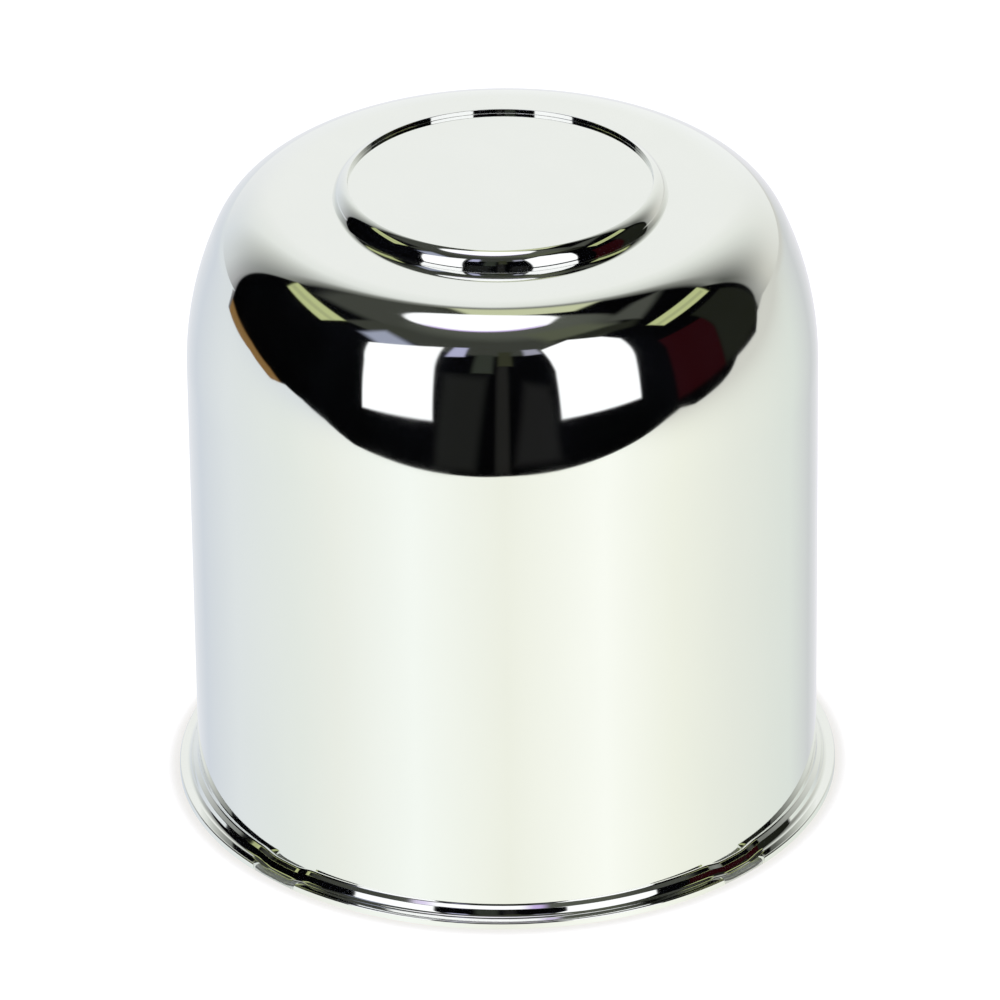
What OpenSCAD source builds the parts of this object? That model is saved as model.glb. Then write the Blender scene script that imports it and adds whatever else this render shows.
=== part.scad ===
// Wheel center cap, push-through kind, pressed from one sheet of steel.
// A deep straight cup, open below. Its flat top carries a raised ring around a
// shallow seat for a round badge, and its mouth turns out into a stepped rim.
// The origin is the centre of the rim's lower edge, and +Z points out of the wheel.

/* [Body] */
// Outside diameter of the straight wall, which fills the hub bore of the wheel
body_d = 108; // [95:0.5:125]
// Height of the flat top above the rim's lower edge
body_h = 110.8; // [90:0.2:125]
// Thickness of the sheet
sheet = 0.75; // [0.5:0.05:0.8]

/* [Shoulder] */
// Radius where the shoulder leaves the flat top
shoulder_top_r = 13.5; // [8:0.5:18]
// Radius where the shoulder runs down into the wall
shoulder_side_r = 58; // [40:1:70]
// Slope, in degrees from upright, at which the two radii meet
shoulder_turn = 24; // [10:1:32]

/* [Ring on the top] */
// Outside diameter of the raised ring
ring_d = 56.9; // [50:0.1:62]
// Height of the ring's edge above the flat top
ring_h = 3; // [2.6:0.1:4]
// Radius of the ring's rounded side
ring_round_r = 3.3; // [2.9:0.1:4]
// Radius of the hollow corner at the ring's foot
ring_foot_r = 0.2; // [0.1:0.1:0.6]
// Radius of the crisp bend at the ring's inner edge
ring_edge_r = 0.15; // [0.1:0.05:0.3]
// Width of the ring, from its foot in to its edge
ring_w = 2.55; // [2.4:0.05:2.8]
// Depth of the badge seat below the ring's edge
seat_depth = 0.75; // [0.6:0.05:1.2]
// Radius of the hollow corner around the badge seat
seat_corner_r = 0.3; // [0.2:0.05:0.35]

/* [Rim] */
// Radius of the hollow corner between the wall and the rim
rim_fillet_r = 0.65; // [0.5:0.05:1.5]
// Slope of the ledge next to that corner, in degrees from level
ledge_slope = 27; // [15:1:35]
// Width of the ledge's straight part
ledge_w = 0.3; // [0.1:0.05:0.8]
// Slope of the small step below the ledge, in degrees from upright
step_lean = 28; // [20:1:40]
// Length of the step's straight part
step_w = 0.5; // [0.1:0.05:0.8]
// Width of the level crest between the step and the lip
crest_w = 0.95; // [0.3:0.05:2]
// Radius of the rounded lip
lip_r = 0.85; // [0.8:0.05:1.4]
// Height of the upright edge below the lip
lip_edge_h = 0.55; // [0.5:0.05:1.5]

/* [Tabs in the rim] */
// Number of short tabs pressed down out of the rim
tab_count = 4; // [2:1:8]
// Direction of the first tab
tab_first = 45; // [0:5:90]
// Length of a tab along the rim
tab_w = 9.5; // [6:0.5:14]
// How far the ledge and step are pressed down at a tab
tab_drop = 0.55; // [0.3:0.05:0.6]
// How far a tab's lower edge lies inside the lip's
tab_set = 0.1; // [0:0.05:0.3]
// Slope of a tab's face, in degrees from upright
tab_lean = 12; // [4:1:18]
// Radius of the tight corner between the wall and a tab
tab_corner_r = 0.4; // [0.3:0.05:0.6]
// How far the foot of the wall is drawn out where a tab is pressed down
tab_draw = 0.04; // [0.02:0.01:0.1]

/* [Hidden] */
$fn = 96;
// Largest turn, in degrees, between two points on the shoulder and on a small bend
shoulder_step = 3;
bend_step = 15;
// Radius up to which a bend counts as small
small_r = 4;
// Radius inside the bends of the step
step_bend = 0.1;
// Radius of the hollow corner at the foot of the step
step_foot_r = 0.3;
// How far a cutting solid reaches past what it cuts
over = 1;

wall_r = body_d / 2;

// Heights and radii of the top
top_z = body_h + ring_h;
seat_z = top_z - seat_depth;
seat_r = ring_d / 2 - ring_w;

// Ring: a round side that the crisp edge and the hollow foot both meet without a crease
edge_x = seat_r + ring_edge_r;
edge_z = top_z - ring_edge_r;
round_x = ring_d / 2 - ring_round_r;
edge_turn = acos((edge_x - round_x) / (ring_round_r - ring_edge_r));
round_z = edge_z - (ring_round_r - ring_edge_r) * sin(edge_turn);
foot_turn = asin((body_h + ring_foot_r - round_z) / (ring_round_r + ring_foot_r));
foot_x = round_x + (ring_round_r + ring_foot_r) * cos(foot_turn);
// Under the edge, the sheet's inner face has a sharp corner where the seat's side meets the round
under_turn = acos((seat_r + sheet - round_x) / (ring_round_r - sheet));

// Shoulder, as two radii that share a tangent
wall_top_z = body_h - shoulder_top_r - (shoulder_side_r - shoulder_top_r) * sin(shoulder_turn);
side_x = wall_r - shoulder_side_r;
flat_r = side_x + (shoulder_side_r - shoulder_top_r) * cos(shoulder_turn);

// Rim, from the lip inwards and up
crest_z = lip_edge_h + lip_r;
step_top_r = step_bend + sheet;
ledge_turn = 90 - ledge_slope;
step_run = (step_top_r + step_foot_r) * cos(step_lean) + step_w * sin(step_lean);
step_rise = (step_top_r + step_foot_r) * sin(step_lean) - step_w * cos(step_lean);
fillet_run = rim_fillet_r - (step_top_r + rim_fillet_r) * cos(ledge_turn)
    + ledge_w * sin(ledge_turn);
step_x = wall_r + fillet_run;
step_foot_x = step_x + step_run;
lip_x = step_foot_x + crest_w;
rim_r = lip_x + lip_r;
step_z = crest_z + step_foot_r - step_rise;
fillet_z = step_z + (step_top_r + rim_fillet_r) * sin(ledge_turn) + ledge_w * cos(ledge_turn);

// Tabs: the same ledge and step pressed down, then a face nearly upright
tab_angle = tab_w / rim_r * 180 / PI;
tab_step_z = step_z - tab_drop;
tab_edge_r = step_bend + sheet;
tab_edge_z = crest_z - tab_drop - tab_edge_r;
tab_foot_r = rim_r - tab_set;
tab_edge_x = tab_foot_r - tab_edge_r * cos(tab_lean)
    - (tab_edge_z + tab_edge_r * sin(tab_lean)) * tan(tab_lean);
ledge_x = step_x + step_top_r * cos(ledge_turn);
ledge_z = tab_step_z + step_top_r * sin(ledge_turn);
tab_wall_r = wall_r + tab_draw;
tab_corner_z = ledge_z + tab_corner_r * sin(ledge_turn)
    + (ledge_x - tab_wall_r - tab_corner_r * (1 - cos(ledge_turn))) * tan(ledge_slope);

// A bend is [centre x, centre z, outside radius, first angle, last angle, side].
// Its side is 1 where the sheet bulges outwards and -1 where it hollows.
seat_bend = [seat_r - seat_corner_r, seat_z + seat_corner_r, seat_corner_r, -90, 0, -1];
edge_bend = [edge_x, edge_z, ring_edge_r, 180, edge_turn, 1];
round_bend = [round_x, round_z, ring_round_r, edge_turn, foot_turn, 1];
under_bend = [round_x, round_z, ring_round_r, under_turn, foot_turn, 1];
top_bends = [
    [foot_x, body_h + ring_foot_r, ring_foot_r, 180 + foot_turn, 270, -1],
    [flat_r, body_h - shoulder_top_r, shoulder_top_r, 90, shoulder_turn, 1],
    [side_x, wall_top_z, shoulder_side_r, shoulder_turn, 0, 1]
];
rim_bends = [
    [wall_r + rim_fillet_r, fillet_z, rim_fillet_r, 180, 180 + ledge_turn, -1],
    [step_x, step_z, step_top_r, ledge_turn, step_lean, 1],
    [step_foot_x, crest_z + step_foot_r, step_foot_r, 180 + step_lean, 270, -1],
    [lip_x, lip_edge_h, lip_r, 90, 0, 1]
];
tab_bends = [
    [tab_wall_r + tab_corner_r, tab_corner_z, tab_corner_r, 180, 180 + ledge_turn, -1],
    [step_x, tab_step_z, step_top_r, ledge_turn, step_lean, 1],
    [step_foot_x, tab_step_z + step_rise, step_foot_r, 180 + step_lean, 270, -1],
    [tab_edge_x, tab_edge_z, tab_edge_r, 90, tab_lean, 1]
];

// Points along one bend, at a given depth into the sheet
function bend_points(bend, depth) =
    let (r = bend[2] - bend[5] * depth,
         turn = bend[2] > small_r ? shoulder_step : bend_step,
         steps = max(1, ceil(abs(bend[4] - bend[3]) / turn)))
    [for (i = [0 : steps])
        let (a = bend[3] + (bend[4] - bend[3]) * i / steps)
        [bend[0] + r * cos(a), bend[1] + r * sin(a)]];
function face_points(bends, depth) = [for (bend = bends) each bend_points(bend, depth)];
function backwards(points) = [for (i = [len(points) - 1 : -1 : 0]) points[i]];

// Section of the whole cap, outer face first and then the inner face back
module cap_section() {
    bends = concat(top_bends, rim_bends);
    polygon(concat(
        [[0, seat_z]],
        face_points(concat([seat_bend, edge_bend, round_bend], bends), 0),
        [[rim_r, 0], [rim_r - sheet, 0]],
        backwards(face_points(concat([seat_bend, under_bend], bends), sheet)),
        [[0, seat_z - sheet]]
    ));
}

// Section through a tab, from the wall down to the tab's lower edge
module tab_section() {
    polygon(concat(
        [[wall_r, fillet_z]],
        face_points(tab_bends, 0),
        [[tab_foot_r, 0], [tab_foot_r - sheet / cos(tab_lean), 0]],
        backwards(face_points(tab_bends, sheet)),
        [[wall_r - sheet, fillet_z]]
    ));
}

// Section of what is cut from the rim at a tab: all that the tab itself doesn't fill
module tab_cut() {
    difference() {
        translate([wall_r - sheet - over, -over])
            square([rim_r - wall_r + sheet + 2 * over, fillet_z + over]);
        tab_section();
    }
}

// Sweeps a section over the length of each tab
module at_each_tab() {
    for (i = [0 : tab_count - 1])
        rotate([0, 0, tab_first + i * 360 / tab_count - tab_angle / 2])
            rotate_extrude(angle = tab_angle)
                children();
}

module center_cap() {
    color([0.86, 0.87, 0.86]) {
        difference() {
            rotate_extrude() cap_section();
            at_each_tab() tab_cut();
        }
        at_each_tab() tab_section();
    }
}

center_cap();
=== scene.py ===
# Looks of a push-through wheel center cap: mirror chrome over pressed sheet steel,
# on a pale studio floor, seen from above as in the photograph.
import math

import bpy
import numpy as np
from mathutils import Matrix, Vector


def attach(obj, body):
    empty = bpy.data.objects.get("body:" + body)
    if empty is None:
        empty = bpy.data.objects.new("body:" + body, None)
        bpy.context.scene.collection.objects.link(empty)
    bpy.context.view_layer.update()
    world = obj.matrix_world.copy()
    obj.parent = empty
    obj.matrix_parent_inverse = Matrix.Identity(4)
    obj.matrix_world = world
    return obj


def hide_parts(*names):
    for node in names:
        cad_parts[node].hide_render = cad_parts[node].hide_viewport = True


MM = 0.001
WHITE = (1.0, 1.0, 1.0)

# Sizes of the cap in millimetres. They are the solid's, but the hollow corners at the ring's foot
# and around the seat are crisper, and so are the bends on the rim's outer face.
BODY_D = 108.0
BODY_H = 110.8
SHEET = 0.75
SHOULDER_TOP_R = 13.5
SHOULDER_SIDE_R = 58.0
SHOULDER_TURN = 24.0
RING_D = 56.9
RING_H = 3.0
RING_W = 2.55
RING_ROUND_R = 3.3
RING_FOOT_R = 0.05
RING_EDGE_R = 0.15
SEAT_DEPTH = 0.75
SEAT_CORNER_R = 0.1
RIM_R = 57.286
INNER_RIM = {"fillet_r": 0.65, "ledge_slope": 27.0, "ledge_w": 0.3, "bend_r": 0.85, "step_lean": 28.0,
             "step_w": 0.5, "foot_r": 0.3, "lip_r": 0.85, "edge_h": 0.55, "tab_edge_r": 0.85}
OUTER_RIM = {"fillet_r": 0.49, "ledge_slope": 32.0, "ledge_w": 0.66, "bend_r": 0.2, "step_lean": 27.0,
             "step_w": 0.66, "foot_r": 1.0, "lip_r": 0.3, "edge_h": 0.85, "tab_edge_r": 0.5}
TAB_COUNT = 4
TAB_FIRST = 45.0
TAB_W = 9.5
TAB_DROP = 0.55
TAB_SET = 0.1
TAB_LEAN = 12.0
TAB_CORNER_R = 0.4

# How the sheet runs into a tab, in millimetres along the rim
SLIT_W = 0.3
DROP_RUN = 4.4
FILLET_RUN = 5.0

# Fineness of the mesh, in degrees
TURN_STEP = 2.0
TAB_STEP = 0.25

# Camera, in millimetres and degrees: the point it looks at, its distance and its tilt
LOOK_AT = (-0.73, 0.0, 51.45)
CAMERA_DISTANCE = 1672.0
CAMERA_ELEVATION = 29.29
CAMERA_ROLL = -0.73
CAMERA_LENS = 349.15
SENSOR_W = 36.0


def sind(a):
    return math.sin(math.radians(a))


def cosd(a):
    return math.cos(math.radians(a))


def tand(a):
    return math.tan(math.radians(a))


def linear(r, g, b):
    """A colour given as it looks on a screen, 0 to 255, as the shaders take it."""
    return tuple(((c / 255 + 0.055) / 1.055) ** 2.4 if c > 10 else c / 255 / 12.92 for c in (r, g, b))


# Section of the sheet. A bend is (centre x, centre z, outside radius, first angle, last angle,
# side), where side is 1 if the sheet bulges outwards there and -1 if it hollows.

def arc_rows(bend, depth, count):
    """Points along a bend at a depth into the sheet, and the directions of travel there."""
    x, z, radius, first, last, side = bend
    angles = np.radians(np.linspace(first, last, count + 1))
    r = radius - side * depth
    way = 1.0 if last > first else -1.0
    points = np.stack([x + r * np.cos(angles), z + r * np.sin(angles)], 1)
    tangents = way * np.stack([-np.sin(angles), np.cos(angles)], 1)
    return points, tangents


TOUCH = 1e-6


def face_rows(start, bends, end, depth):
    """One face of the sheet: its points, and the direction of travel at both ends of each stretch."""
    points, before, after = [np.array(start, float)], [], []
    for bend, count in bends:
        arc, tangents = arc_rows(bend, depth, count)
        step = arc[0] - points[-1]
        length = np.hypot(*step)
        if length > TOUCH:
            points.append(arc[0])
            before.append(step / length)
            after.append(step / length)
        for i in range(count):
            points.append(arc[i + 1])
            before.append(tangents[i])
            after.append(tangents[i + 1])
    step = np.array(end, float) - points[-1]
    line = step / np.hypot(*step)
    points.append(np.array(end, float))
    before.append(line)
    after.append(line)
    return np.array(points), np.array(before), np.array(after)


WALL_R = BODY_D / 2
TOP_Z = BODY_H + RING_H
SEAT_Z = TOP_Z - SEAT_DEPTH


def top_bends(depth):
    """Bends from the badge seat out over the ring and the shoulder to the wall. The ring's crisp
    edge is a bend of the outer face alone: under it, the sheet's inner face has a sharp corner."""
    seat_r = RING_D / 2 - RING_W
    edge_x = seat_r + RING_EDGE_R
    edge_z = TOP_Z - RING_EDGE_R
    round_x = RING_D / 2 - RING_ROUND_R
    edge_turn = math.degrees(math.acos((edge_x - round_x) / (RING_ROUND_R - RING_EDGE_R)))
    round_z = edge_z - (RING_ROUND_R - RING_EDGE_R) * sind(edge_turn)
    foot_turn = math.degrees(math.asin((BODY_H + RING_FOOT_R - round_z) / (RING_ROUND_R + RING_FOOT_R)))
    foot_x = round_x + (RING_ROUND_R + RING_FOOT_R) * cosd(foot_turn)
    under_turn = math.degrees(math.acos((seat_r + SHEET - round_x) / (RING_ROUND_R - SHEET)))
    seat = ((seat_r - SEAT_CORNER_R, SEAT_Z + SEAT_CORNER_R, SEAT_CORNER_R, -90, 0, -1), 5)
    if depth:
        ring = [((round_x, round_z, RING_ROUND_R, under_turn, foot_turn, 1), 7)]
    else:
        ring = [((edge_x, edge_z, RING_EDGE_R, 180, edge_turn, 1), 6),
                ((round_x, round_z, RING_ROUND_R, edge_turn, foot_turn, 1), 20)]
    reach = SHOULDER_SIDE_R - SHOULDER_TOP_R
    side_x = WALL_R - SHOULDER_SIDE_R
    flat_r = side_x + reach * cosd(SHOULDER_TURN)
    wall_top_z = BODY_H - SHOULDER_TOP_R - reach * sind(SHOULDER_TURN)
    return [seat] + ring + [
        ((foot_x, BODY_H + RING_FOOT_R, RING_FOOT_R, 180 + foot_turn, 270, -1), 5),
        ((flat_r, BODY_H - SHOULDER_TOP_R, SHOULDER_TOP_R, 90, SHOULDER_TURN, 1), 12 if depth else 22),
        ((side_x, wall_top_z, SHOULDER_SIDE_R, SHOULDER_TURN, 0, 1), 5 if depth else 10),
    ]


def rim_bends(dip, tight, rim):
    """Bends from the wall to the foot of the step. dip is how far the ledge is pressed down, in
    millimetres, and tight is 0 for the full hollow corner and 1 for a tab's."""
    ledge_turn = 90 - rim["ledge_slope"]
    bend_r, foot_r, lean = rim["bend_r"], rim["foot_r"], rim["step_lean"]
    run = (bend_r + foot_r) * cosd(lean) + rim["step_w"] * sind(lean)
    rise = (bend_r + foot_r) * sind(lean) - rim["step_w"] * cosd(lean)
    step_x = (WALL_R + rim["fillet_r"] - (bend_r + rim["fillet_r"]) * cosd(ledge_turn)
              + rim["ledge_w"] * sind(ledge_turn))
    step_z = rim["edge_h"] + rim["lip_r"] + foot_r - rise - dip
    fillet_r = rim["fillet_r"] + (TAB_CORNER_R - rim["fillet_r"]) * tight
    ledge_x = step_x + bend_r * cosd(ledge_turn)
    ledge_z = step_z + bend_r * sind(ledge_turn)
    ledge_run = ledge_x - WALL_R - fillet_r * (1 - cosd(ledge_turn))
    fillet_z = ledge_z + fillet_r * sind(ledge_turn) + ledge_run * tand(rim["ledge_slope"])
    return [
        ((WALL_R + fillet_r, fillet_z, fillet_r, 180, 180 + ledge_turn, -1), 9),
        ((step_x, step_z, bend_r, ledge_turn, lean, 1), 6),
        ((step_x + run, step_z + rise, foot_r, 180 + lean, 270, -1), 8),
    ]


LIP_ROWS = 11


def lip_bends(rim):
    return [((RIM_R - rim["lip_r"], rim["edge_h"], rim["lip_r"], 90, 0, 1), LIP_ROWS)]


def tab_bends(dip, rim):
    edge_r = rim["tab_edge_r"]
    edge_z = rim["edge_h"] + rim["lip_r"] - dip - edge_r
    foot_r = RIM_R - TAB_SET
    edge_x = foot_r - edge_r * cosd(TAB_LEAN) - (edge_z + edge_r * sind(TAB_LEAN)) * tand(TAB_LEAN)
    return [((edge_x, edge_z, edge_r, 90, TAB_LEAN, 1), LIP_ROWS)]


def column(dip, tight, kind, depth):
    """One face of the whole section, from the axis to its lower edge, with a lip or a tab."""
    rim = INNER_RIM if depth else OUTER_RIM
    if kind == "lip":
        last, foot_r, thick = lip_bends(rim), RIM_R, depth
    else:
        last, foot_r, thick = tab_bends(dip, rim), RIM_R - TAB_SET, depth / cosd(TAB_LEAN)
    bends = top_bends(depth) + rim_bends(dip, tight, rim) + last
    return face_rows((0, SEAT_Z - depth), bends, (foot_r - thick, 0), depth)


def smooth(t):
    t = np.clip(t, 0, 1)
    return t * t * (3 - 2 * t)


def turn_angles():
    """Angles of the mesh's columns round the axis, finer near the tabs, and each stretch's kind."""
    half = math.degrees(TAB_W / 2 / RIM_R)
    slit = math.degrees(SLIT_W / RIM_R)
    near = half + 3
    angles, kinds = [], []
    for i in range(TAB_COUNT):
        middle = TAB_FIRST + i * 360 / TAB_COUNT
        gap_end = middle + 360 / TAB_COUNT - near
        stretches = [
            (middle - near, middle - half - slit, TAB_STEP, "lip"),
            (middle - half - slit, middle - half, slit, "slit"),
            (middle - half, middle + half, TAB_STEP, "tab"),
            (middle + half, middle + half + slit, slit, "slit"),
            (middle + half + slit, middle + near, TAB_STEP, "lip"),
            (middle + near, gap_end, TURN_STEP, "lip"),
        ]
        for first, last, step, kind in stretches:
            count = max(1, round((last - first) / step))
            angles += list(first + (last - first) * np.arange(count) / count)
            kinds += [kind] * count
    return np.array(angles), kinds


def tab_share(angles, run):
    """0 away from the tabs and 1 on them, changing over a run in millimetres on both sides of a cut."""
    half = math.degrees(TAB_W / 2 / RIM_R)
    pitch = 360 / TAB_COUNT
    off = np.abs((angles - TAB_FIRST + pitch / 2) % pitch - pitch / 2)
    inside = np.radians(half - off) * RIM_R
    return smooth(inside / run + 0.5)


class Surface:
    """Points of one face of the sheet for every column, with its normals at both ends of each row."""

    def __init__(self, angles, dips, tights, kind, depth):
        columns = [column(d, t, kind, depth) for d, t in zip(dips, tights)]
        self.points = np.array([c[0] for c in columns])
        before = np.array([c[1] for c in columns])
        after = np.array([c[2] for c in columns])
        phi = np.radians(angles)
        self.out = np.stack([np.cos(phi), np.sin(phi), 0 * phi], 1)
        self.along = np.stack([-np.sin(phi), np.cos(phi), 0 * phi], 1)
        wrapped = np.concatenate([phi[-1:] - 2 * math.pi, phi, phi[:1] + 2 * math.pi])
        rows = np.concatenate([self.points[-1:], self.points, self.points[:1]])
        self.slope = np.gradient(rows, wrapped, axis=0)[1:-1]
        self.place = self.points[..., :1] * self.out[:, None] + self.points[..., 1:] * np.array([0, 0, 1.0])
        flip = -1.0 if depth else 1.0
        self.first = flip * self.normals(before, self.points[:, :-1], self.slope[:, :-1])
        self.last = flip * self.normals(after, self.points[:, 1:], self.slope[:, 1:])

    def normals(self, travel, points, slope):
        up = np.array([0, 0, 1.0])
        row = travel[..., :1] * self.out[:, None] + travel[..., 1:] * up
        radius = np.maximum(points[..., :1], 0.5)
        turn = radius * self.along[:, None] + slope[..., :1] * self.out[:, None] + slope[..., 1:] * up
        n = np.cross(row, turn)
        return n / np.maximum(np.linalg.norm(n, axis=-1, keepdims=True), 1e-12)


class Builder:
    """Collects vertices and faces with a normal for each corner and a material for each face."""

    def __init__(self):
        self.vertices, self.index, self.faces, self.normals, self.slots = [], {}, [], [], []

    def vertex(self, key, place):
        if key not in self.index:
            self.index[key] = len(self.vertices)
            self.vertices.append(tuple(place * MM))
        return self.index[key]

    def face(self, corners, normals, slot):
        self.faces.append(corners)
        self.normals += [tuple(n) for n in normals]
        self.slots.append(slot)

    def mesh(self, name):
        mesh = bpy.data.meshes.new(name)
        mesh.from_pydata(self.vertices, [], self.faces)
        mesh.polygons.foreach_set("material_index", self.slots)
        mesh.polygons.foreach_set("use_smooth", [True] * len(self.faces))
        mesh.update()
        mesh.normals_split_custom_set(self.normals)
        return mesh


OUTSIDE, INSIDE, TAB_FACE = 0, 1, 2


def build_cap():
    """The cap as one closed sheet, with sheared tabs and exact normals on every bend."""
    angles, kinds = turn_angles()
    dips = TAB_DROP * tab_share(angles, DROP_RUN)
    tights = tab_share(angles, FILLET_RUN)
    faces = {
        (kind, side): Surface(angles, dips, tights, kind, SHEET * side)
        for kind in ("lip", "tab")
        for side in (OUTSIDE, INSIDE)
    }
    # Rows from the root of the lip and the tabs on, which both faces share
    tail = range(LIP_ROWS + 2)
    roots = [faces["lip", side].points.shape[1] - 1 - len(tail) for side in (OUTSIDE, INSIDE)]
    turns = len(angles)
    b = Builder()

    def corner(kind, side, c, row):
        c %= turns
        if row == 0:
            return b.vertex((side, "pole"), faces[kind, side].place[0, 0])
        owner = "sheet" if row <= roots[side] else kind
        return b.vertex((side, owner, c, row), faces[kind, side].place[c, row])

    def strip(kind, side, c, rows):
        s = faces[kind, side]
        d = (c + 1) % turns
        for row in rows:
            ring = [(c, row, s.first[c, row]), (c, row + 1, s.last[c, row]),
                    (d, row + 1, s.last[d, row]), (d, row, s.first[d, row])]
            if row == 0:
                ring = ring[:3]
            if side == INSIDE:
                ring.reverse()
            slot = TAB_FACE if kind == "tab" and side == OUTSIDE else side
            b.face([corner(kind, side, i, j) for i, j, _ in ring], [n for _, _, n in ring], slot)

    def pair(kind, c, row):
        return [corner(kind, side, c, roots[side] + row) for side in (OUTSIDE, INSIDE)]

    def edge(kind, c, row, normal):
        """Closes the sheet between its two faces along one stretch of a row."""
        b.face(pair(kind, c, row) + pair(kind, (c + 1) % turns, row)[::-1], [normal] * 4, OUTSIDE)

    def cut(kind, c, way):
        """Cut end of the rim's outer strip, facing along the rim."""
        normal = faces[kind, OUTSIDE].along[c % turns] * way
        for row in tail:
            ids = pair(kind, c, row)[::-1] + pair(kind, c, row + 1)
            b.face(ids[::-1] if way < 0 else ids, [normal] * 4, OUTSIDE)

    for c, kind in enumerate(kinds):
        for side in (OUTSIDE, INSIDE):
            strip("lip", side, c, range(roots[side]))
            if kind != "slit":
                strip(kind, side, c, [roots[side] + row for row in tail])
        if kind == "slit":
            edge("lip", c, 0, faces["lip", OUTSIDE].out[c])
        else:
            edge(kind, c, len(tail), (0, 0, -1))
            if kinds[c - 1] == "slit":
                cut(kind, c, -1)
            if kinds[(c + 1) % turns] == "slit":
                cut(kind, c + 1, 1)
    cap = bpy.data.objects.new("chrome_cap", b.mesh("chrome_cap"))
    bpy.context.scene.collection.objects.link(cap)
    return cap


class Graph:
    """Short names for the shader nodes that the materials and the surroundings use."""

    def __init__(self, tree):
        self.tree = tree
        tree.nodes.clear()

    def node(self, kind, **values):
        n = self.tree.nodes.new(kind)
        for name, value in values.items():
            setattr(n, name, value)
        return n

    def set(self, socket, value):
        if isinstance(value, bpy.types.NodeSocket):
            self.tree.links.new(value, socket)
        elif isinstance(value, tuple) and socket.type == "RGBA" and len(value) == 3:
            socket.default_value = (*value, 1.0)
        else:
            socket.default_value = value

    def math(self, operation, a, b=0.0, clamp=False):
        n = self.node("ShaderNodeMath", operation=operation, use_clamp=clamp)
        self.set(n.inputs[0], a)
        self.set(n.inputs[1], b)
        return n.outputs[0]

    def dot(self, a, b):
        n = self.node("ShaderNodeVectorMath", operation="DOT_PRODUCT")
        self.set(n.inputs[0], a)
        self.set(n.inputs[1], b)
        return n.outputs["Value"]

    def ramp(self, value, low, high, to_low=0.0, to_high=1.0, kind="SMOOTHSTEP"):
        n = self.node("ShaderNodeMapRange", interpolation_type=kind)
        for name, v in zip(("Value", "From Min", "From Max", "To Min", "To Max"),
                           (value, low, high, to_low, to_high)):
            self.set(n.inputs[name], v)
        return n.outputs["Result"]

    def mix(self, share, a, b):
        n = self.node("ShaderNodeMix", data_type="RGBA")
        self.set(n.inputs["Factor"], share)
        self.set(n.inputs[6], a)
        self.set(n.inputs[7], b)
        return n.outputs[2]

    def stops(self, value, stops):
        """Colour that runs through the stops, each (position, colour)."""
        n = self.node("ShaderNodeValToRGB")
        self.set(n.inputs[0], value)
        elements = n.color_ramp.elements
        elements[0].position, elements[0].color = stops[0][0], (*stops[0][1], 1)
        elements[1].position, elements[1].color = stops[-1][0], (*stops[-1][1], 1)
        for place, colour in stops[1:-1]:
            elements.new(place).color = (*colour, 1)
        return n.outputs["Color"]

    def noise(self, vector, scale, detail=2.0, rough=0.5):
        n = self.node("ShaderNodeTexNoise")
        self.set(n.inputs["Vector"], vector)
        self.set(n.inputs["Scale"], scale)
        self.set(n.inputs["Detail"], detail)
        self.set(n.inputs["Roughness"], rough)
        return n.outputs["Fac"]

    def stretch(self, vector, scale):
        n = self.node("ShaderNodeVectorMath", operation="MULTIPLY")
        self.set(n.inputs[0], vector)
        self.set(n.inputs[1], scale)
        return n.outputs[0]

    def bump(self, height, distance, normal=None):
        n = self.node("ShaderNodeBump")
        self.set(n.inputs["Height"], height)
        self.set(n.inputs["Distance"], distance)
        if normal is not None:
            self.set(n.inputs["Normal"], normal)
        return n.outputs[0]


def direction(turn, rise):
    """Unit vector: turn is the angle from the front (-Y) towards +X, and rise the angle above level."""
    return Vector((sind(turn) * cosd(rise), -cosd(turn) * cosd(rise), sind(rise)))


def panel_share(g, view, corners, soft):
    """1 where the view lies inside the panel with these corners, given in order round it as
    (turn, rise) in degrees, and 0 outside, over a soft edge."""
    around = [direction(*c) for c in corners]
    middle = sum(around, Vector())
    share = None
    for a, b in zip(around, around[1:] + around[:1]):
        side = a.cross(b).normalized()
        if side.dot(middle) < 0:
            side.negate()
        inside = g.dot(view, tuple(side))
        share = inside if share is None else g.math("MINIMUM", share, inside)
    return g.ramp(share, -soft / 2, soft / 2)


# What the chrome makes of full white, by which the tones below are divided
CHROME_TONE = 0.88


def mirrored(r, g, b):
    """Brightness of something that the chrome shows in this colour, 0 to 255."""
    return tuple(c / CHROME_TONE for c in linear(r, g, b))


# Surroundings that the chrome mirrors: a white sweep behind, a dark room in front with two tall
# softboxes, and a dark ceiling with lamps. Places are (turn, rise) in degrees, as in direction().
SWEEP_TOP = (0.116, 1.71)
SWEEP_LEFT_TURN = -122.0
SWEEP_RIGHT_TURN = 111.5
# Tones of the sweep by the distance from its side edge, low down and high up
SWEEP_LEFT_LOW = [(0.0, mirrored(118, 118, 120)), (0.06, mirrored(164, 165, 166)),
                  (0.22, mirrored(197, 201, 202)), (0.42, mirrored(212, 217, 221)),
                  (0.65, mirrored(227, 229, 230)), (0.85, mirrored(236, 238, 237))]
SWEEP_LEFT_HIGH = [(0.03, mirrored(112, 114, 111)), (0.12, mirrored(138, 141, 137)),
                   (0.2, mirrored(162, 164, 160)), (0.32, mirrored(192, 195, 190)),
                   (0.46, mirrored(224, 227, 223)), (0.65, mirrored(233, 235, 232))]
SWEEP_RIGHT_LOW = [(0.0, mirrored(140, 141, 136)), (0.06, mirrored(158, 159, 154)),
                   (0.22, mirrored(195, 195, 187)), (0.38, mirrored(211, 212, 205)),
                   (0.62, mirrored(225, 227, 222)), (0.85, mirrored(236, 238, 237))]
SWEEP_RIGHT_HIGH = [(0.1, mirrored(84, 86, 81)), (0.2, mirrored(130, 132, 127)),
                    (0.32, mirrored(172, 174, 168)), (0.45, mirrored(204, 207, 201)),
                    (0.57, mirrored(223, 226, 220)), (0.7, mirrored(233, 235, 231))]
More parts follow.
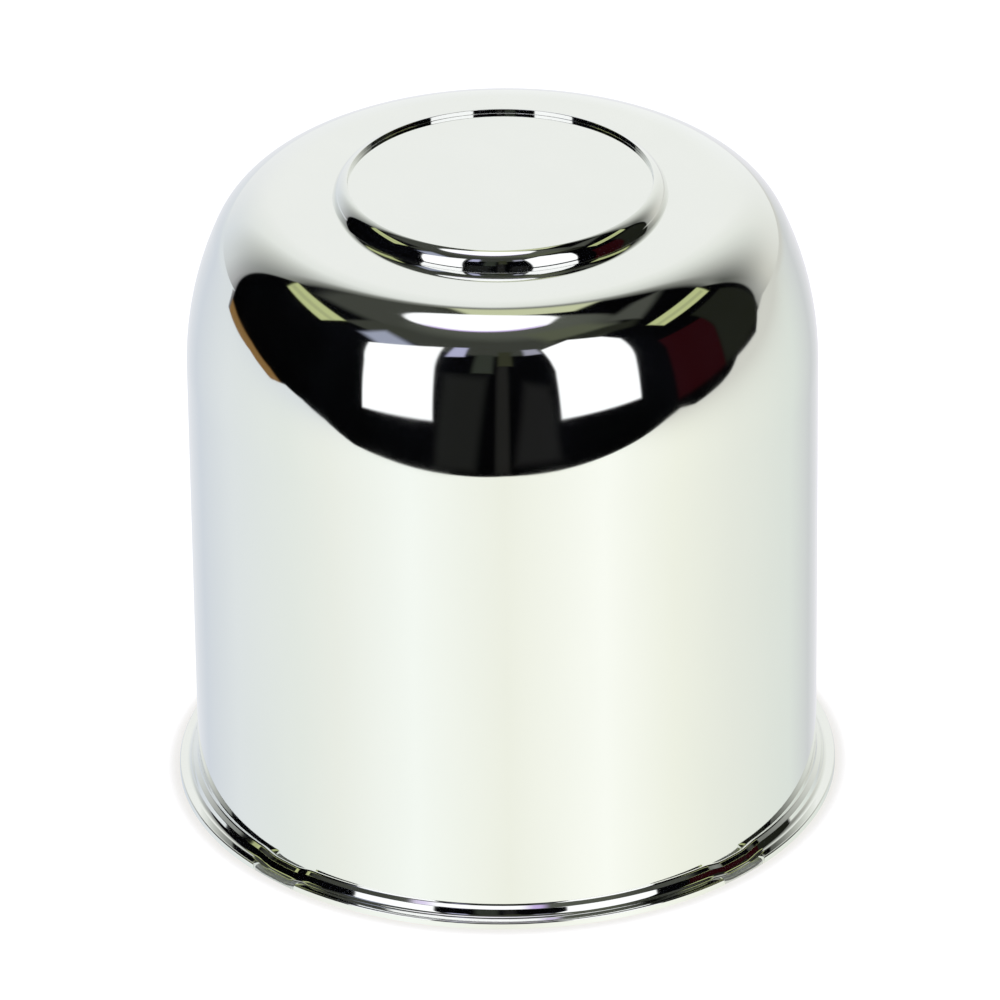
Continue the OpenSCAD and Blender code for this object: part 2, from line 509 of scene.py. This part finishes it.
SWEEP_EDGE_COLOUR = mirrored(118, 120, 114)
ROOM_COLOUR = mirrored(2, 2, 2)
CEILING_COLOUR = mirrored(56, 58, 52)
CEILING_HIGH_COLOUR = mirrored(80, 83, 75)

BOX_WHITE = (1.17, 1.18, 1.2)
LAMP = mirrored(178, 186, 133)
LAMP_MIDDLE = mirrored(160, 167, 122)
BLUISH = mirrored(150, 155, 174)
PANELS = [
    # corners, colour, softness of the edge
    # Ceiling
    ([(-168, 53), (-120, 50), (-75, 60), (-95, 72), (180, 75)], mirrored(62, 64, 58), 0.12),
    ([(28, 60), (72, 58), (80, 72), (20, 74)], mirrored(82, 86, 70), 0.12),
    ([(35, 55), (72, 52), (84, 56), (70, 62), (30, 60)], mirrored(34, 36, 28), 0.08),
    ([(-86, 49), (-88, 60), (-60, 64), (-50, 56), (-68, 50)], mirrored(56, 58, 51), 0.05),
    ([(84, 55), (138, 55), (128, 62), (84, 66)], mirrored(70, 72, 66), 0.06),
    # Lamps, each with a duller band along its middle
    ([(-128.5, 44), (-119, 38.4), (-86.7, 37.1), (-85, 48.4)], LAMP, 0.02),
    ([(-124, 42.4), (-121, 40.4), (-86, 41.6), (-85.6, 44)], LAMP_MIDDLE, 0.015),
    ([(118.7, 45.5), (110, 38.2), (76, 38), (74.3, 46.4)], LAMP, 0.02),
    ([(114, 43), (111, 41), (75.6, 40.8), (75.2, 43)], LAMP_MIDDLE, 0.015),
    # Bluish things between the softboxes and the ceiling
    ([(-70, 45), (-68, 56), (-43, 47.5), (-54, 38)], BLUISH, 0.08),
    # Brown edge of the table on the left
    ([(-122, -9), (-84, -9), (-84, -6), (-92, -4.8), (-104, -4.4), (-122, -5.2)], mirrored(128, 98, 58), 0.015),
    ([(-25, 40), (-17, 42), (-18, 55), (-25, 54)], mirrored(170, 170, 200), 0.02),
    ([(10, 44), (18, 45), (17, 52), (10, 52)], mirrored(150, 150, 165), 0.03),
    # Stands and the figure between the softboxes
    ([(-12, 20), (-4, 20), (-4, 46), (-12, 46)], mirrored(46, 50, 43), 0.04),
    ([(-2, 30), (4, 30), (4, 50), (-2, 50)], mirrored(48, 50, 36), 0.03),
    ([(-24, -14), (-10, -14), (-6, 18), (-22, 18)], mirrored(27, 28, 26), 0.07),
    ([(4, -12), (20, -11), (17, 14), (8, 16)], mirrored(26, 26, 25), 0.07),
    ([(-3, -15), (2, -15), (2, 30), (-2, 30)], mirrored(30, 30, 28), 0.04),
    # Dark things on the right
    ([(65, -3), (88, -3), (88, 25), (65, 25)], mirrored(34, 6, 8), 0.03),
    ([(88, -3), (111, -3), (111, 33), (88, 33)], mirrored(27, 29, 22), 0.04),
    # Softboxes
    ([(-60, 37.5), (-30, 52.5), (-25, 2), (-51, 0.5)], BOX_WHITE, 0.015),
    ([(19, 50), (37.5, 58.7), (52.5, 52.5), (56, 43.7), (50.5, 2.5), (20.7, 2.5)], BOX_WHITE, 0.015),
    # Strip of the ceiling that joins the round lamp to the sweep
    ([(160, 57.5), (-168, 58.5), (-163, 71), (150, 69)], mirrored(190, 195, 160), 0.03),
    ([(-170, 58.5), (-165, 59), (-159, 71), (-166, 71)], mirrored(52, 54, 46), 0.03),
]
# Round lamp overhead: its middle, as sines across and back, its size and where its right side is cut
ROUND_MIDDLE = (-0.07, 0.087)
ROUND_R = 14.0
ROUND_CUT = 0.165
ROUND_FRINGE = mirrored(196, 176, 226)


def build_world():
    world = bpy.data.worlds.new("studio")
    bpy.context.scene.world = world
    world.use_nodes = True
    g = Graph(world.node_tree)
    view = g.node("ShaderNodeTexCoord").outputs["Generated"]
    path = g.node("ShaderNodeLightPath")
    rise = g.dot(view, (0.0, 0.0, 1.0))
    across = g.dot(view, (1.0, 0.0, 0.0))
    ceiling = g.mix(g.ramp(rise, sind(62), sind(78)), CEILING_COLOUR, CEILING_HIGH_COLOUR)
    high = g.ramp(g.math("SUBTRACT", rise, g.math("MULTIPLY", g.dot(view, (0.0, 1.0, 0.0)), 0.28)),
                  sind(62), sind(66))
    colour = g.mix(high, ROOM_COLOUR, ceiling)
    for corners, shade, soft in PANELS:
        colour = g.mix(panel_share(g, view, corners, soft), colour, shade)

    # The sweep: a sheet that leans forward at the top, duller towards its sides
    top = Vector((SWEEP_TOP[0], SWEEP_TOP[1], -1.0)).normalized()
    behind = g.dot(view, tuple(top))
    left = g.dot(view, (-cosd(SWEEP_LEFT_TURN), -sind(SWEEP_LEFT_TURN), 0.0))
    right = g.dot(view, (cosd(SWEEP_RIGHT_TURN), sind(SWEEP_RIGHT_TURN), 0.0))
    up = g.ramp(rise, sind(2), sind(38))
    left_tone = g.mix(up, g.stops(left, SWEEP_LEFT_LOW), g.stops(left, SWEEP_LEFT_HIGH))
    right_tone = g.mix(up, g.stops(right, SWEEP_RIGHT_LOW), g.stops(right, SWEEP_RIGHT_HIGH))
    sweep = g.mix(g.ramp(across, -0.04, 0.04), left_tone, right_tone)
    sweep = g.mix(g.ramp(behind, 0.01, 0.1), SWEEP_EDGE_COLOUR, sweep)
    lean = g.math("MULTIPLY", g.math("MAXIMUM", rise, 0.0), -0.11)
    left = g.math("ADD", left, lean)
    right = g.math("ADD", right, lean)
    inside = g.math("MULTIPLY", g.ramp(behind, -0.05, 0.03),
                    g.ramp(g.math("MINIMUM", left, right), -0.012, 0.012))
    colour = g.mix(inside, colour, sweep)

    # The round lamp overhead, with a violet fringe on its front side
    middle = Vector((*ROUND_MIDDLE, 0.0))
    middle.z = math.sqrt(1 - middle.length_squared)
    off = g.dot(view, tuple(middle))
    cut = g.ramp(across, ROUND_CUT + 0.01, ROUND_CUT - 0.01)
    forward = g.ramp(g.dot(view, (0.0, 1.0, 0.0)), 0.06, -0.1)
    fringe = g.mix(forward, BOX_WHITE, ROUND_FRINGE)
    wide = g.math("MULTIPLY", cut, g.ramp(off, cosd(ROUND_R + 1.2), cosd(ROUND_R - 0.2)))
    colour = g.mix(wide, colour, fringe)
    round_lamp = g.math("MULTIPLY", cut, g.ramp(off, cosd(ROUND_R - 0.4), cosd(ROUND_R - 2.0)))
    colour = g.mix(round_lamp, colour, BOX_WHITE)

    seen = g.math("MAXIMUM", path.outputs["Is Camera Ray"], path.outputs["Is Transmission Ray"])
    lit = g.mix(path.outputs["Is Glossy Ray"], SKY_COLOUR, colour)
    background = g.node("ShaderNodeBackground")
    g.set(background.inputs["Color"], g.mix(seen, lit, WHITE))
    g.set(background.inputs["Strength"], 1.0)
    out = g.node("ShaderNodeOutputWorld")
    g.set(out.inputs["Surface"], background.outputs[0])


# Floor, in millimetres: in the chrome, the dark room begins at its front edge
FLOOR_CORNERS = [(-2500, 1500), (-1500, 960), (-700, 405), (-760, 335), (-890, 180), (-860, 60),
                 (-810, -20), (-1050, -150), (-890, -270), (-610, -315), (-360, -295), (-250, -320),
                 (-110, -340), (0, -357), (110, -360), (260, -372), (400, -385), (670, -425),
                 (860, -430), (750, -285), (870, -120), (1000, -45), (1430, 60), (1230, 320),
                 (2500, 880), (2500, 2500), (-2500, 2500)]
# Share of the floor that glows by itself for the camera; the rest takes the cap's shadow
FLOOR_SHINE = 0.55
FLOOR_COLOUR = (0.96, 0.96, 0.96)
# Light of the sky on the floor, cooler than the glow, so that the shadow comes out warm
SKY_COLOUR = (0.9, 1.0, 1.5)
FLOOR_GLOW = (1.45, 1.39, 1.17)
# Painted shadow on the floor's glow close round the cap's foot: its warm tint, and how far out it reaches
PAINTED_FOOT_SHADOW = (0.72, 0.7, 0.6)
PAINTED_FOOT_SHADOW_W = 3.5
# Painted light and shade of the floor as the wall's chrome mirrors it, by the turn of the mirrored view in
# degrees: darker at the back on both sides, where the cap's shadow falls
PAINTED_FLOOR_TONES = [
    (-180, (228, 229, 232)), (-147, (203, 209, 217)), (-117, (219, 224, 226)),
    (-83, (225, 230, 225)), (-65, (232, 235, 228)), (-34, (243, 247, 242)),
    (0, (236, 238, 227)), (36, (248, 250, 243)), (64, (237, 239, 227)),
    (91, (227, 230, 221)), (129, (216, 222, 216)), (150, (199, 202, 203)),
    (168, (222, 222, 226)), (180, (228, 229, 232)),
]
# Painted light of the floor far out on the left and on the right, as the chrome mirrors it
FAR_LEFT_TONE = (214, 219, 222)
FAR_RIGHT_TONE = (200, 200, 193)


def mirrored_turn(g, place):
    """Turn, in degrees, of the view that the round wall mirrors onto a place on the floor. The
    wall mirrors it at half that turn, which is solved for in a few rounds."""
    x = g.dot(place, (1.0, 0.0, 0.0))
    y = g.dot(place, (0.0, 1.0, 0.0))
    turn = g.math("ARCTAN2", x, g.math("MULTIPLY", y, -1.0))
    away = g.node("ShaderNodeVectorMath", operation="LENGTH")
    g.set(away.inputs[0], place)
    share = g.math("MINIMUM", g.math("DIVIDE", WALL_R * MM, away.outputs["Value"]), 1.0)
    whole = turn
    for _ in range(6):
        side = g.math("MULTIPLY", share, g.math("SINE", g.math("MULTIPLY", whole, 0.5)))
        whole = g.math("ADD", turn, g.math("ARCSINE", side))
    return g.math("MULTIPLY", whole, 180 / math.pi)


def build_floor():
    mesh = bpy.data.meshes.new("floor")
    mesh.from_pydata([(x * MM, y * MM, -0.01 * MM) for x, y in FLOOR_CORNERS], [],
                     [tuple(range(len(FLOOR_CORNERS)))])
    floor = bpy.data.objects.new("floor", mesh)
    bpy.context.scene.collection.objects.link(floor)
    material = bpy.data.materials.new("floor")
    material.use_nodes = True
    g = Graph(material.node_tree)
    path = g.node("ShaderNodeLightPath")
    geometry = g.node("ShaderNodeNewGeometry")
    place = g.stretch(geometry.outputs["Position"], (1.0, 1.0, 0.0))
    round_about = g.ramp(mirrored_turn(g, place), -180.0, 180.0, kind="LINEAR")
    # Painted light and shade on the floor, for the rays that the chrome mirrors
    tone = g.stops(round_about, [((turn + 180) / 360, mirrored(*c)) for turn, c in PAINTED_FLOOR_TONES])
    away = g.node("ShaderNodeVectorMath", operation="LENGTH")
    g.set(away.inputs[0], place)
    away = away.outputs["Value"]
    across = g.dot(place, (1.0, 0.0, 0.0))
    wide = g.math("ABSOLUTE", across)
    far = g.mix(g.ramp(across, -0.01, 0.01), mirrored(*FAR_LEFT_TONE), mirrored(*FAR_RIGHT_TONE))
    tone = g.mix(g.ramp(wide, 0.22, 0.85, 0.0, 0.85), tone, far)
    diffuse = g.node("ShaderNodeBsdfDiffuse")
    g.set(diffuse.inputs["Color"], FLOOR_COLOUR)
    # Painted shadow: for the camera, the floor's glow is warmer and darker close round the cap's foot
    open_floor = g.ramp(away, RIM_R * MM, (RIM_R + PAINTED_FOOT_SHADOW_W) * MM, kind="SMOOTHERSTEP")
    shade = tuple(a * b for a, b in zip(FLOOR_GLOW, PAINTED_FOOT_SHADOW))
    shade = g.mix(open_floor, shade, FLOOR_GLOW)
    glow = g.node("ShaderNodeEmission")
    g.set(glow.inputs["Color"], g.mix(path.outputs["Is Glossy Ray"], shade, tone))
    seen = g.math("MAXIMUM", path.outputs["Is Camera Ray"], path.outputs["Is Transmission Ray"])
    seen = g.math("MULTIPLY", seen, FLOOR_SHINE)
    both = g.node("ShaderNodeMixShader")
    g.set(both.inputs[0], g.math("MAXIMUM", seen, path.outputs["Is Glossy Ray"]))
    g.set(both.inputs[1], diffuse.outputs[0])
    g.set(both.inputs[2], glow.outputs[0])
    clear = g.node("ShaderNodeBsdfTransparent")
    below = g.math("MULTIPLY", geometry.outputs["Backfacing"], path.outputs["Is Camera Ray"])
    whole = g.node("ShaderNodeMixShader")
    g.set(whole.inputs[0], below)
    g.set(whole.inputs[1], both.outputs[0])
    g.set(whole.inputs[2], clear.outputs[0])
    out = g.node("ShaderNodeOutputMaterial")
    g.set(out.inputs["Surface"], whole.outputs[0])
    mesh.materials.append(material)


def chrome_outside():
    """Bright plating: a clean mirror with the faint waves that pressed sheet keeps."""
    material = bpy.data.materials.new("chrome_bright")
    material.use_nodes = True
    g = Graph(material.node_tree)
    place = g.node("ShaderNodeTexCoord").outputs["Object"]
    waves = g.noise(place, 38.0, detail=1.0)
    peel = g.noise(place, 420.0, detail=2.0)
    wipe = g.noise(g.stretch(place, (1.0, 1.0, 0.35)), 90.0, detail=4.0)
    normal = g.bump(waves, 0.00004)
    normal = g.bump(peel, 0.0000006, normal)
    shader = g.node("ShaderNodeBsdfPrincipled")
    g.set(shader.inputs["Base Color"], g.mix(wipe, (0.87, 0.88, 0.865), (0.9, 0.905, 0.89)))
    shader.inputs["Metallic"].default_value = 1.0
    g.set(shader.inputs["Roughness"], g.ramp(wipe, 0.35, 0.7, 0.035, 0.06))
    g.set(shader.inputs["Normal"], normal)
    out = g.node("ShaderNodeOutputMaterial")
    g.set(out.inputs["Surface"], shader.outputs[0])
    return material


def chrome_inside():
    """Thin plating inside the cup, where the drawing marks of the bare steel still show."""
    material = bpy.data.materials.new("chrome_thin")
    material.use_nodes = True
    g = Graph(material.node_tree)
    place = g.node("ShaderNodeTexCoord").outputs["Object"]
    streaks = g.noise(g.stretch(place, (1.0, 1.0, 0.04)), 900.0, detail=3.0)
    cloud = g.noise(place, 45.0, detail=4.0)
    shader = g.node("ShaderNodeBsdfPrincipled")
    g.set(shader.inputs["Base Color"], g.mix(cloud, (0.56, 0.565, 0.56), (0.7, 0.7, 0.69)))
    shader.inputs["Metallic"].default_value = 1.0
    g.set(shader.inputs["Roughness"], g.ramp(streaks, 0.3, 0.75, 0.24, 0.4))
    g.set(shader.inputs["Normal"], g.bump(streaks, 0.00001))
    out = g.node("ShaderNodeOutputMaterial")
    g.set(out.inputs["Surface"], shader.outputs[0])
    return material


def chrome_tab_face():
    """Plating on the tabs, darker and rougher than the rest, with fine streaks in it."""
    material = bpy.data.materials.new("chrome_tab_face")
    material.use_nodes = True
    g = Graph(material.node_tree)
    place = g.node("ShaderNodeTexCoord").outputs["Object"]
    tab_streaks = g.noise(g.stretch(place, (1.0, 1.0, 60.0)), 70.0, detail=3.0)
    shader = g.node("ShaderNodeBsdfPrincipled")
    g.set(shader.inputs["Base Color"], g.mix(tab_streaks, (0.62, 0.63, 0.61), (0.86, 0.86, 0.84)))
    shader.inputs["Metallic"].default_value = 1.0
    g.set(shader.inputs["Roughness"], g.ramp(tab_streaks, 0.3, 0.7, 0.3, 0.42))
    out = g.node("ShaderNodeOutputMaterial")
    g.set(out.inputs["Surface"], shader.outputs[0])
    return material


def build_camera():
    """Camera of the photograph: far off, tilted down, with a slight roll."""
    back = Vector((0, -cosd(CAMERA_ELEVATION), sind(CAMERA_ELEVATION)))
    right = Vector((1, 0, 0))
    up = right.cross(-back)
    across = right * cosd(CAMERA_ROLL) + up * sind(CAMERA_ROLL)
    upright = up * cosd(CAMERA_ROLL) - right * sind(CAMERA_ROLL)
    place = (Vector(LOOK_AT) + back * CAMERA_DISTANCE) * MM
    data = bpy.data.cameras.new("camera")
    data.sensor_width = SENSOR_W
    data.lens = CAMERA_LENS
    data.clip_start = 0.05
    camera = bpy.data.objects.new("camera", data)
    turn = Matrix((across, upright, back)).transposed().to_4x4()
    camera.matrix_world = Matrix.Translation(place) @ turn
    bpy.context.scene.collection.objects.link(camera)
    bpy.context.scene.camera = camera


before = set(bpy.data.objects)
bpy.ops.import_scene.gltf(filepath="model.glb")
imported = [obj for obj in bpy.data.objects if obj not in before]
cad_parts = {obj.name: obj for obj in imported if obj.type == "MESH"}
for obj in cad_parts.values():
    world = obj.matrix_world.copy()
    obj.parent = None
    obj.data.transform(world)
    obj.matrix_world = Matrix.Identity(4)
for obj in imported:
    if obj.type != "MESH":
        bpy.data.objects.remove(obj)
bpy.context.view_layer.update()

build_camera()
build_world()
build_floor()
cap = build_cap()
for plating in (chrome_outside(), chrome_inside(), chrome_tab_face()):
    cap.data.materials.append(plating)
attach(cap, "root")
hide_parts("center_cap")

bpy.context.scene.view_settings.view_transform = "Standard"
